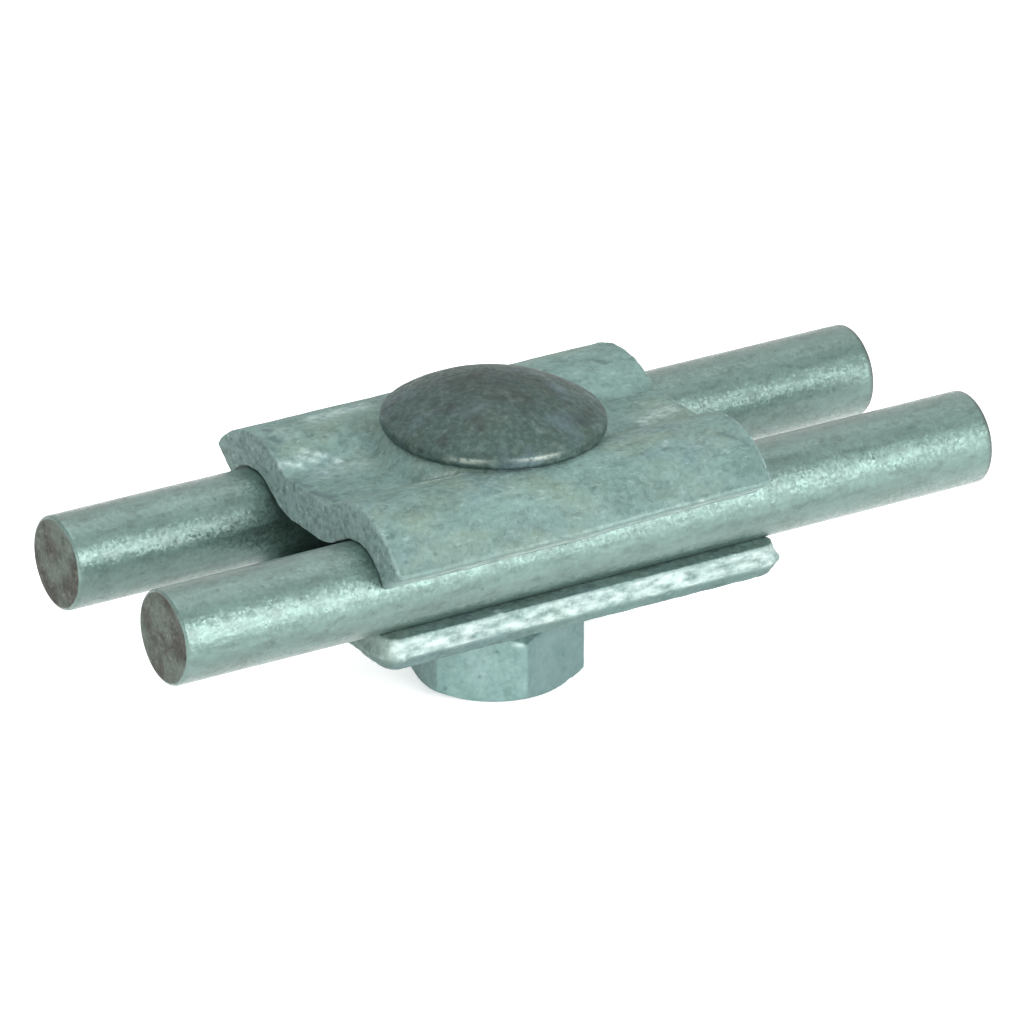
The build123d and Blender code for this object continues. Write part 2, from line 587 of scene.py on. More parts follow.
@dataclass(frozen=True)
class Spots(Pattern):
    """Small round spots, one to a cell of a random lattice, each as wide as its share of the cell."""

    share: float

    def draw(self, tree: Tree, place: Socket) -> Socket:
        """Return 1 in each spot's middle and 0 outside the spots."""
        away = add_node(tree, "ShaderNodeTexVoronoi", {"Vector": place, "Scale": scale_of(self.size_mm)})
        return add_node(tree, "ShaderNodeMapRange", {
            "Value": away, "From Min": self.share, "From Max": 0.0})


@dataclass(frozen=True)
class Crystals(Pattern):
    """Zinc crystals: one random brightness for each grain."""

    def draw(self, tree: Tree, place: Socket) -> Socket:
        """Return each grain's brightness."""
        inputs = {"Vector": place, "Scale": scale_of(self.size_mm)}
        grain = add_node(tree, "ShaderNodeTexVoronoi", inputs, "Color")
        return add_node(tree, "ShaderNodeSeparateColor", {"Color": grain})


@dataclass(frozen=True)
class Tint:
    """A colour laid over a finish by a pattern and by a mask of the mesh, at most at the given strength."""

    colour: str
    strength: float
    pattern: Pattern | None = None
    mask: str = ""


@dataclass(frozen=True)
class Relief:
    """A bump that stands height_mm proud where its pattern and its mask are 1."""

    height_mm: float
    pattern: Pattern
    mask: str = ""


@dataclass(frozen=True)
class Finish:
    """A surface finish: one base colour with tints over it, relief, crystal tilt, uneven gloss and a film.

    The film is left off where the mask named by bare is 1.
    """

    name: str
    base: str
    tints: tuple[Tint, ...]
    reliefs: tuple[Relief, ...]
    gloss: Pattern
    metallic: float
    roughness: tuple[float, float]
    crystal_mm: float = 0.34
    crystal_tilt: float = 0.25
    film: float = 0.0
    film_roughness: float = 0.5
    film_ior: float = 1.8
    bare: str = ""

    def share(self, tree: Tree, place: Socket, layer: Tint | Relief, strength: float) -> Socket:
        """Return how strong a layer is: the strength times its pattern times its mask.

        Args:
            tree: The finish's node tree.
            place: The Object coordinates.
            layer: The tint or relief.
            strength: The most that it reaches.

        Returns:
            The strength at each place.
        """
        share = layer.pattern.draw(tree, place) if layer.pattern else 1.0
        share = add_node(tree, "ShaderNodeMath", {0: share, 1: strength}, operation="MULTIPLY")
        if layer.mask:
            mask = add_node(tree, "ShaderNodeAttribute", output="Fac", attribute_name=layer.mask)
            share = add_node(tree, "ShaderNodeMath", {0: share, 1: mask}, operation="MULTIPLY")
        return share

    def crystal_normal(self, tree: Tree, place: Socket) -> Socket:
        """Return the surface normal, turned a little another way on each crystal.

        Each grain's random colour less one half, times the tilt, is added to the normal.

        Args:
            tree: The finish's node tree.
            place: The Object coordinates.

        Returns:
            The turned normal.
        """
        inputs = {"Vector": place, "Scale": scale_of(self.crystal_mm)}
        grain = add_node(tree, "ShaderNodeTexVoronoi", inputs, "Color")
        lean = add_node(tree, "ShaderNodeVectorMath", {0: grain, 1: (0.5, 0.5, 0.5)}, operation="SUBTRACT")
        normal = add_node(tree, "ShaderNodeNewGeometry", output="Normal")
        turned = {0: lean, 1: (self.crystal_tilt,) * 3, 2: normal}
        return add_node(tree, "ShaderNodeVectorMath", turned, operation="MULTIPLY_ADD")

    def colour(self, tree: Tree, place: Socket) -> Socket:
        """Return the base colour with every tint laid over it in turn.

        Args:
            tree: The finish's node tree.
            place: The Object coordinates.

        Returns:
            The finished colour.
        """
        colour: Socket | tuple = linear_colour(self.base)
        for tint in self.tints:
            share = self.share(tree, place, tint, tint.strength)
            layers = {0: share, 6: colour, 7: linear_colour(tint.colour)}
            colour = add_node(tree, "ShaderNodeMix", layers, 2, data_type="RGBA")
        return colour

    def normal(self, tree: Tree, place: Socket) -> Socket:
        """Return the crystals' normal, bent by the sum of the reliefs' heights.

        Args:
            tree: The finish's node tree.
            place: The Object coordinates.

        Returns:
            The finished normal.
        """
        height: Socket | float = 0.0
        for relief in self.reliefs:
            share = self.share(tree, place, relief, relief.height_mm * MM)
            height = add_node(tree, "ShaderNodeMath", {0: share, 1: height}, operation="ADD")
        crystals = self.crystal_normal(tree, place)
        return add_node(tree, "ShaderNodeBump", {
            "Strength": 1.0, "Distance": 1.0, "Height": height, "Normal": crystals})

    def material(self) -> bpy.types.Material:
        """Draw the finish's material the first time that it is asked for.

        Returns:
            The material.
        """
        material = bpy.data.materials.get(self.name)
        if material:
            return material
        material = bpy.data.materials.new(self.name)
        material.use_nodes = True
        tree = material.node_tree
        tree.nodes.clear()
        place = add_node(tree, "ShaderNodeTexCoord", output="Object")
        normal = self.normal(tree, place)
        rough, smooth = self.roughness
        gloss = add_node(tree, "ShaderNodeMapRange", {
            "Value": self.gloss.draw(tree, place), "To Min": rough, "To Max": smooth})
        film: Socket | float = self.film
        if self.bare:
            mask = add_node(tree, "ShaderNodeAttribute", output="Fac", attribute_name=self.bare)
            shares = {0: mask, 1: -self.film, 2: self.film}
            film = add_node(tree, "ShaderNodeMath", shares, operation="MULTIPLY_ADD")
        shader = add_node(tree, "ShaderNodeBsdfPrincipled", {
            "Base Color": self.colour(tree, place), "Metallic": self.metallic, "Roughness": gloss,
            "Normal": normal, "Coat Weight": film, "Coat Roughness": self.film_roughness,
            "Coat IOR": self.film_ior, "Coat Normal": normal})
        add_node(tree, "ShaderNodeOutputMaterial", {"Surface": shader})
        return material


@dataclass(frozen=True)
class HotDipZinc(Finish):
    """Hot-dip galvanised steel: a pale green-grey zinc skin, cloudy and softly sparkling.

    Its sheared edges are coarser, and bright where they are worn; along the lower plate's front the
    bright band is also painted highlight. The real crystals are finer than the picture shows and are drawn
    0.34 to 0.45 mm wide.
    """

    name: str = "hot_dip_zinc_plate"
    base: str = "#55706a"
    tints: tuple[Tint, ...] = (
        Tint("#718d88", 0.75, Patches(4.5, 0.4, 0.66, 1.7, 5)),
        Tint("#6b7a68", 0.5, Patches(8, 0.47, 0.62, 1.3, 3, 31)),
        Tint("#536c78", 0.55, Patches(6.5, 0.54, 0.68, 1.5, 4, 57)),
        Tint("#384f4a", 0.65, Patches(1.3, 0.48, 0.72, 1.8, 5, 11)),
        Tint("#7f9b96", 0.35, Crystals(0.45)),
        Tint("#99afab", 0.35, Patches(0.7, 0.58, 0.72, 2, 4, 77)),
        Tint("#2b4040", 0.55, Spots(2.9, 0.1)),
        Tint("#748b88", 0.8, Patches(1.1, 0.2, 0.56, 1, 4), "sheared"),
        Tint("#3f5553", 0.7, Patches(0.7, 0.46, 0.7, 1, 3, 5), "sheared"),
        Tint("#b4c8c6", 0.5, Patches(0.5, 0.6, 0.72, 1, 3, 9), "sheared"),
        # Wear on the sheared edges; on the lower plate's front it is also painted highlight.
        Tint("#ccdad7", 0.75, Patches(0.9, 0.36, 0.66, 2.5, 5, 19), "wear_and_highlight"),
        # The pale mask holds pale marks; some of them are painted highlight.
        Tint("#c8dad8", 0.8, Patches(0.6, 0.3, 0.62, 1.5, 3, 15), "pale"),
        # The dark mask holds dark marks and painted shade along the upper plate's front lip and the lower
        # plate's foot.
        Tint("#3a4f52", 0.8, None, "dark"),
    )
    reliefs: tuple[Relief, ...] = (
        Relief(0.05, Patches(2.4, 0, 1, 1.6, 4)),
        Relief(0.02, Patches(0.5, 0, 1, 1, 2)),
        Relief(-0.05, Spots(2.9, 0.1)),
        Relief(0.08, Patches(0.7, 0, 1, 1, 3), "sheared"),
    )
    gloss: Pattern = Patches(1.8, 0.34, 0.66, 1.6, 4, 71)
    metallic: float = 0.3
    roughness: tuple[float, float] = (0.84, 0.68)
    film: float = 0.1


@dataclass(frozen=True)
class NutZinc(HotDipZinc):
    """Spun hot-dip zinc on the nut and washer: brighter and more even than on the plates, finely pitted. The
    brighter colour is partly painted light, standing for the light on the nut's front face.
    """

    name: str = "hot_dip_zinc_nut"
    base: str = "#6c8b87"
    tints: tuple[Tint, ...] = (
        Tint("#88a3a0", 0.7, Patches(3.5, 0.4, 0.66, 1, 4)),
        Tint("#91afab", 0.25, Crystals(0.45)),
        Tint("#384e4c", 0.7, Spots(2.1, 0.14)),
        Tint("#4f6866", 0.5, Patches(1.2, 0.56, 0.76, 1, 4, 9)),
        Tint("#c8dad8", 0.85, None, "pale"),
        # The dark mask holds dark marks and the painted shade of two of the nut's flats.
        Tint("#3a4f52", 0.8, None, "dark"),
    )


@dataclass(frozen=True)
class DrawnWireZinc(Finish):
    """Galvanised drawn wire: smoother zinc with fine lines along it, and bare sawn steel on the cut ends.

    The real draw lines are finer than the picture shows and are drawn 0.8 mm apart.
    """

    name: str = "galvanised_drawn_wire"
    base: str = "#47625a"
    tints: tuple[Tint, ...] = (
        Tint("#64807a", 0.6, Patches(3.2, 0.36, 0.68, 2.4, 5)),
        Tint("#647f78", 0.5, Patches(0.8, 0.4, 0.7, 14, 3)),
        Tint("#344a44", 0.75, Patches(1.0, 0.5, 0.74, 2.2, 4, 13)),
        Tint("#748f88", 0.22, Crystals(0.42)),
        Tint("#283d39", 0.6, Spots(3.3, 0.09)),
        Tint("#4c574f", 1.0, None, "cut"),
        Tint("#29251c", 0.85, Patches(4.0, 0.42, 0.6, 1, 3, 3), "cut"),
        Tint("#6d756e", 0.5, Patches(0.6, 0.58, 0.72, 1, 2, 8), "cut"),
        # The dark mask is painted shade on the rims of the right ends.
        Tint("#343a37", 0.9, None, "dark"),
    )
    reliefs: tuple[Relief, ...] = (
        Relief(0.02, Patches(0.8, 0, 1, 14, 3)),
        Relief(0.03, Patches(2.2, 0, 1, 2, 4)),
        Relief(0.022, Patches(0.45, 0, 1, 1.3, 2)),
        Relief(-0.05, Spots(3.3, 0.09)),
    )
    gloss: Pattern = Patches(1.4, 0.34, 0.66, 2, 4, 41)
    metallic: float = 0.8
    roughness: tuple[float, float] = (0.56, 0.42)
    crystal_mm: float = 0.3
    crystal_tilt: float = 0.15
    film: float = 1.0
    film_roughness: float = 0.36
    film_ior: float = 1.5
    bare: str = "cut"


@dataclass(frozen=True)
class DullZinc(Finish):
    """Forged bolt with a thin dull zinc-iron skin: dark, matt, bluish and speckled, its rim paler along two
    arcs as wear and painted highlight.
    """

    name: str = "dull_zinc_iron_forging"
    base: str = "#2d443f"
    tints: tuple[Tint, ...] = (
        Tint("#31443c", 0.9, Patches(6, 0.4, 0.62, 1, 4)),
        Tint("#4d616a", 0.7, Patches(5, 0.5, 0.68, 1, 4, 23)),
        Tint("#5b716f", 0.4, Patches(0.6, 0.42, 0.7, 1, 2)),
        Tint("#24322e", 0.75, Spots(2.6, 0.15)),
        Tint("#283733", 0.5, Patches(1.4, 0.56, 0.74, 1, 4, 17)),
        Tint("#1c2724", 0.6, Patches(3.0, 0.5, 0.66, 1, 4, 41)),
        Tint("#64756f", 0.45, Patches(1.8, 0.56, 0.7, 1, 5, 61)),
        # The pale mask holds the rim's two arcs, wear and painted highlight.
        Tint("#c2cbc0", 0.95, Patches(0.7, 0.3, 0.5, 1, 2, 5), "pale"),
        # The dark mask holds dark pits and the crown's painted shade.
        Tint("#141c1a", 0.85, None, "dark"),
    )
    reliefs: tuple[Relief, ...] = (
        Relief(0.04, Patches(3, 0, 1, 1, 4)),
        Relief(0.022, Patches(0.5, 0, 1, 1, 2)),
        Relief(-0.06, Spots(2.6, 0.15)),
    )
    gloss: Pattern = Crystals(0.6)
    metallic: float = 0.4
    roughness: tuple[float, float] = (0.7, 0.54)
    crystal_tilt: float = 0.15
    film: float = 0.06
    film_roughness: float = 0.45


@dataclass(frozen=True)
class Layout:
    """The sizes that the pieces share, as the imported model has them."""

    rod_radius: float = 5.0
    rod_y: float = 10.8
    rod_z: float = 19.05
    channel_radius: float = 6.2
    channel_z: float = 17.95
    plate_thickness: float = 4.0
    valley_top: float = 25.95
    valley_bottom: float = 21.95
    head_seat: float = 28.25
    seat_radius: float = 11.2
    seat_base_radius: float = 13.1
    thread_pitch: float = 1.5
    thread_radius: float = 4.925
    thread_depth: float = 0.92
    thread_root: float = 0.25
    thread_crest: float = 0.875

    @property
    def arch_radius(self) -> float:
        """The outside radius of the upper plate's arches."""
        return self.channel_radius + self.plate_thickness

    def thread(self, angle: Array, height: Array) -> Array:
        """Return the bolt's radius on its right-hand thread.

        The phase is the height in pitches less the angle in turns. The wave falls and rises evenly through
        each phase, and is cut flat at the crests and roots.

        Args:
            angle: Angles around the bolt.
            height: Heights along it.

        Returns:
            The radius at each angle and height.
        """
        phase = (height / self.thread_pitch - angle / FULL_TURN) % 1
        wave = np.abs(2 * phase - 1)
        rise = np.clip((wave - self.thread_root) / (self.thread_crest - self.thread_root), 0, 1)
        return self.thread_radius - self.thread_depth * (1 - rise)


LAYOUT = Layout()


@dataclass(frozen=True)
class Mark:
    """One small mark: a lump, pit or streak from start to end, with its radius, height and tone.

    The tone runs from -1, dark, to 1, pale.
    """

    start: Point
    end: Point
    radius: float
    height: float = 0.0
    tone: float = 0.0

    def share(self, points: Array) -> Array:
        """Return how strong the mark is at each point.

        It is 1 on the line from start to end and falls off around it as a bell curve.

        Args:
            points: Places in millimetres.

        Returns:
            A value from 0 to 1 for each point.
        """
        start, line = np.array(self.start), np.array(self.end) - np.array(self.start)
        along = np.clip((points - start) @ line / max(float(line @ line), 1e-9), 0, 1)
        away = np.linalg.norm(points - start - along[:, None] * line, axis=1)
        return bell(away, 0, self.radius)


@dataclass(kw_only=True)
class Piece:
    """One piece of the connector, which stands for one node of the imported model."""

    node: str
    body: Body
    slot: Slot
    finish: Finish
    marks: tuple[Mark, ...] = ()

    def shell(self) -> Shell:
        """Return the piece's surface in millimetres."""
        raise NotImplementedError

    def press_marks(self, shell: Shell) -> None:
        """Raise or sink the surface at each mark, and write the marks' tones into its pale and dark masks.

        Args:
            shell: The piece's surface, which is changed.
        """
        height, pale, dark = (np.zeros(len(shell.points)) for _ in range(3))
        for mark in self.marks:
            share = mark.share(shell.points)
            height += mark.height * share
            pale = np.maximum(pale, mark.tone * share)
            dark = np.maximum(dark, -mark.tone * share)
        shell.raise_by(height)
        shell.masks["pale"] = np.maximum(pale, shell.masks.get("pale", 0))
        shell.masks["dark"] = np.maximum(dark, shell.masks.get("dark", 0))

    def build(self) -> bpy.types.Object:
        """Make the mesh, dress it in its finish and let it stand for its node.

        Returns:
            The finished object.
        """
        shell = self.shell()
        self.press_marks(shell)
        piece = shell.build(f"{self.node}_skin")
        piece.data.materials.append(self.finish.material())
        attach(piece, self.body.value)
        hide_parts(self.node)
        LOG.info("%s: %d points, %d faces", piece.name, len(piece.data.vertices), len(piece.data.polygons))
        return piece


@dataclass(kw_only=True)
class ClampPlate(Piece):
    """A sheared and galvanised plate, its edge torn, and roughest at the two ends."""

    slot: Slot = Slot.CLAMP_PLATE
    finish: Finish = HotDipZinc()
    half_length: float
    end_zone: float = 1.5
    side_tear: float
    sink: float
    waves: tuple[Waves, ...]
    torn: tuple[Waves, ...]

    def weather(self, shell: Shell, around: Array, along: Array) -> Array:
        """Lay the zinc over the plate in soft waves and tear its sheared edge.

        The waves are half as high on the edge. The tearing is full at the two ends and side_tear between
        them. The whole skin is sunk a little, so that it stays inside the plate's size.

        Args:
            shell: The plate's surface, which is changed.
            around: 1 on the sheared edge and 0 on the broad faces.
            along: Each point's place along the plate from its middle.

        Returns:
            1 at the two ends and 0 between them.
        """
        end = smooth_step(np.abs(along), self.half_length - self.end_zone, self.half_length)
        tear = around * (self.side_tear + (1 - self.side_tear) * end)
        waves = summed(self.waves, shell.points) * (1 - around / 2)
        shell.raise_by(waves + tear * summed(self.torn, shell.points) - self.sink)
        return end


@dataclass(kw_only=True)
class UpperClampPlate(ClampPlate):
    """The pressed upper plate: two arched channels, a valley and the raised round seat for the head.

    Its front lip sags, more towards the left, and its underside has a burr in the middle of the left end.
    """

    node: str = "upper_clamp_plate"
    body: Body = Body.UPPER_HALF
    half_length: float = 22.7
    lip_angle: float = 35.8
    corner_round: float = 0.8
    top_round: float = 0.32
    bottom_round: float = 0.28
    face_inset: float = 0.1
    channel_slope: float = 20.0
    hole_half: float = 5.5
    crease_blend: float = 0.45
    seat_blend: float = 0.2
    lip_sag: float = 0.3
    lip_start: float = 3.0
    left_sag: float = 0.45
    left_sag_fade: tuple[float, float] = (-6, 18)
    left_burr: float = 0.45
    burr_length: float = 1.2
    burr_fade: tuple[float, float] = (5, 9)
    side_tear: float = 0.35
    side_wear: float = 0.75
    worn_height: tuple[float, float] = (-0.5, 1.4)
    lip_shade: float = 0.3
    sink: float = 0.04
    waves: tuple[Waves, ...] = (Waves(0.035, 6, 11), Waves(0.012, 1.6, 17))
    torn: tuple[Waves, ...] = (Waves(0.06, 1.4, 23), Waves(0.035, 0.6, 29))
    step: float = 0.27
    marks: tuple[Mark, ...] = (
        Mark((-20.2, 10.4, 28.1), (-19.4, 9.0, 28.0), 1.1, 0.22, 0.25),
        Mark((-20.9, 11.8, 28.1), (-20.6, 10.9, 28.1), 0.42, -0.14, -0.9),
        Mark((-21.4, 9.6, 28.0), (-20.8, 8.6, 27.9), 0.45, -0.14, -0.85),
        Mark((-23.0, 12.0, 28.0), (-22.2, 7.8, 27.7), 0.5, -0.06, -0.5),
        Mark((-22.4, 5.7, 26.6), (-20.4, 5.2, 26.4), 0.4, 0.04, 0.75),
        Mark((-20.2, 6.1, 26.8), (-18.4, 5.2, 26.4), 0.35, 0.04, 0.7),
        Mark((-19.2, 6.6, 27.1), (-16.9, 5.4, 26.5), 0.35, 0.03, 0.6),
        Mark((-22.2, -0.8, 25.9), (-21.2, -2.6, 25.95), 0.7, -0.05, -0.85),
        Mark((-22.3, 2.8, 25.95), (-21.9, 0.6, 25.95), 0.5, -0.05, -0.55),
        Mark((-16.4, 4.8, 26.2), (-15.8, 4.6, 26.1), 0.3, 0.06, 0.9),
        Mark((-18.5, 2.8, 26.0), (-14.2, 3.4, 26.0), 1.4, 0.0, 0.3),
        Mark((-15.0, 11.5, 28.1), (-9.0, 12.0, 28.1), 1.1, 0.0, 0.5),
        Mark((16.6, -2.9, 26.0), (20.4, -1.9, 26.0), 1.3, 0.0, 0.5),
        Mark((-21.9, -18.1, 25.1), (-21.5, -18.3, 24.8), 0.35, -0.16, -0.8),
        Mark((-21.0, -18.9, 24.3), (-19.8, -18.95, 24.1), 0.35, -0.16, -0.7),
        Mark((-14.0, -7.8, 27.6), (-8.6, -8.5, 27.9), 0.3, 0.04, 0.45),
        Mark((-11.6, -5.2, 26.8), (-8.4, -8.4, 27.9), 0.35, 0.04, 0.7),
        Mark((15.4, -2.8, 26.0), (15.2, -7.0, 27.4), 0.4, -0.04, -0.55),
        Mark((13.1, -12.7, 28.0), (13.3, -12.6, 28.0), 0.28, 0.05, 0.9),
        Mark((19.6, -13.0, 27.9), (20.8, -14.4, 27.5), 0.35, -0.06, -0.8),
        Mark((21.2, -14.0, 27.7), (21.6, -16.0, 26.8), 0.4, -0.03, -0.4),
        Mark((18.2, 9.6, 28.1), (19.0, 8.6, 28.0), 0.3, -0.05, -0.8),
        Mark((-3.3, -19.1, 23.4), (-2.9, -19.1, 23.2), 0.32, -0.15, -0.95),
        Mark((13.8, -19.1, 23.5), (14.5, -19.1, 23.3), 0.3, 0.06, 0.9),
        # Two long pale lines along the front lip's outer edge: painted highlight.
        Mark((-20.0, -19.05, 23.9), (-5.0, -19.05, 23.7), 0.28, 0.0, 0.4),
        Mark((2.0, -19.05, 23.8), (12.0, -19.05, 23.8), 0.25, 0.0, 0.45),
    )

    def top_height(self, y: Array) -> Array:
        """Return the top surface between the arch crests: the higher of the valley and the arch's circle.

        Args:
            y: Distances from the bolt, up to a crest's.

        Returns:
            The heights.
        """
        reach = np.minimum(LAYOUT.rod_y - y, LAYOUT.arch_radius)
        arch = LAYOUT.channel_z + np.sqrt(LAYOUT.arch_radius**2 - reach**2)
        return smooth_max(arch, np.full_like(y, LAYOUT.valley_top), self.crease_blend)

    def bottom_height(self, y: Array) -> Array:
        """Return the underside between the crests: the channel's circle, then a slope down to the valley.

        Args:
            y: Distances from the bolt, up to a crest's.

        Returns:
            The heights.
        """
        slope = math.radians(self.channel_slope)
        start_y = LAYOUT.rod_y - LAYOUT.channel_radius * math.sin(slope)
        start_z = LAYOUT.channel_z + LAYOUT.channel_radius * math.cos(slope)
        reach = np.minimum(LAYOUT.rod_y - y, LAYOUT.channel_radius * math.sin(slope))
        arch = LAYOUT.channel_z + np.sqrt(LAYOUT.channel_radius**2 - reach**2)
        line = start_z - (start_y - y) * math.tan(slope)
        side = np.where(y > start_y, arch, line)
        return smooth_max(side, np.full_like(y, LAYOUT.valley_bottom), self.crease_blend)

    def with_seat(self, height: Array, away: Array, base: float, outer: float) -> Array:
        """Raise the round seat, or the recess under it, out of a surface.

        It stands at its full rise inside and slopes down to the base at the outer radius.

        Args:
            height: The surface's heights.
            away: Distances from the bolt's axis.
            base: The valley's height.
            outer: The foot's radius.

        Returns:
            The higher of both heights, blended.
        """
        rise, flank = LAYOUT.head_seat - LAYOUT.valley_top, LAYOUT.seat_base_radius - LAYOUT.seat_radius
        return smooth_max(height, base + rise * np.clip((outer - away) / flank, 0, 1), self.seat_blend)

    def bend(self, flat: Array) -> Array:
        """Bend the flat slab over the section.

        Up to an arch's crest, v is the distance from the bolt and the thickness stands upright. Past it, v
        runs along the arch's outer circle and the thickness lies along its radius.

        Args:
            flat: Points as u, v and h.

        Returns:
            The same points as x, y and z.
        """
        u, v, h = flat.T
        side, reach, away = np.sign(v), np.abs(v), np.hypot(u, v)
        share = h / LAYOUT.plate_thickness + 0.5
        inner = np.minimum(reach, LAYOUT.rod_y)
        foot = LAYOUT.seat_base_radius
        top = self.with_seat(self.top_height(inner), away, LAYOUT.valley_top, foot)
        bottom = self.with_seat(self.bottom_height(inner), away, LAYOUT.valley_bottom,
                                foot - LAYOUT.plate_thickness)
        turn = math.pi / 2 - np.maximum(reach - LAYOUT.rod_y, 0) / LAYOUT.arch_radius
        radius = LAYOUT.channel_radius + share * LAYOUT.plate_thickness
        past = reach > LAYOUT.rod_y
        y = np.where(past, LAYOUT.rod_y + radius * np.cos(turn), reach)
        z = np.where(past, LAYOUT.channel_z + radius * np.sin(turn), bottom + share * (top - bottom))
        return np.stack([u, side * y, z], axis=1)

    def shell(self) -> Shell:
        """Build the plate: bend the slab, lower its front lip and its burr, and weather it.

        Returns:
            The plate's surface.
        """
        half = LAYOUT.plate_thickness / 2
        edge = ((self.top_round + self.face_inset, half, 0.0), (0.0, half, self.top_round),
                (0.0, -half, self.bottom_round), (self.bottom_round + self.face_inset, -half, 0.0))
        arc = math.radians(90 - self.lip_angle) * LAYOUT.arch_radius
        slab = Slab(self.half_length, LAYOUT.rod_y + arc, LAYOUT.plate_thickness, self.corner_round, edge,
                    self.hole_half, self.step)
        flat, quads, around = slab.flat()
        shell = Shell(self.bend(flat), quads)
        x, y, z = shell.points.T
        front_lip = smooth_step(-flat[:, 1], LAYOUT.rod_y + self.lip_start, LAYOUT.rod_y + arc)
        sag = self.lip_sag + self.left_sag * (1 - smooth_step(x, *self.left_sag_fade))
        left_end = smooth_step(-x, self.half_length - self.burr_length, self.half_length)
        low = left_end * smooth_step(-flat[:, 2], half / 4, half)
        burr = self.left_burr * low * (1 - smooth_step(np.abs(y), *self.burr_fade))
        shell.points = np.stack([x - burr / 2, y, z - sag * front_lip - burr], axis=1)
        end = self.weather(shell, around, x)
        shell.masks["sheared"] = around * (self.side_tear + (1 - self.side_tear) * end)
        shell.masks["wear_and_highlight"] = self.side_wear * around * (1 - end) * bell(flat[:, 2], *self.worn_height)
        shell.masks["dark"] = self.lip_shade * front_lip * (1 - around)
        return shell


@dataclass(frozen=True)
class Bulge:
    """How a sheared end bulges: how far, over what length, and where and how widely in the thickness."""

    reach: float
    length: float
    middle: float
    width: float

    def at(self, along: Array, half_length: float, share: Array) -> Array:
        """Return how far the end's surface moves out, by its place along the plate and in its thickness."""
        near = smooth_step(along, half_length - self.length, half_length)
        return self.reach * near * bell(share, self.middle, self.width)


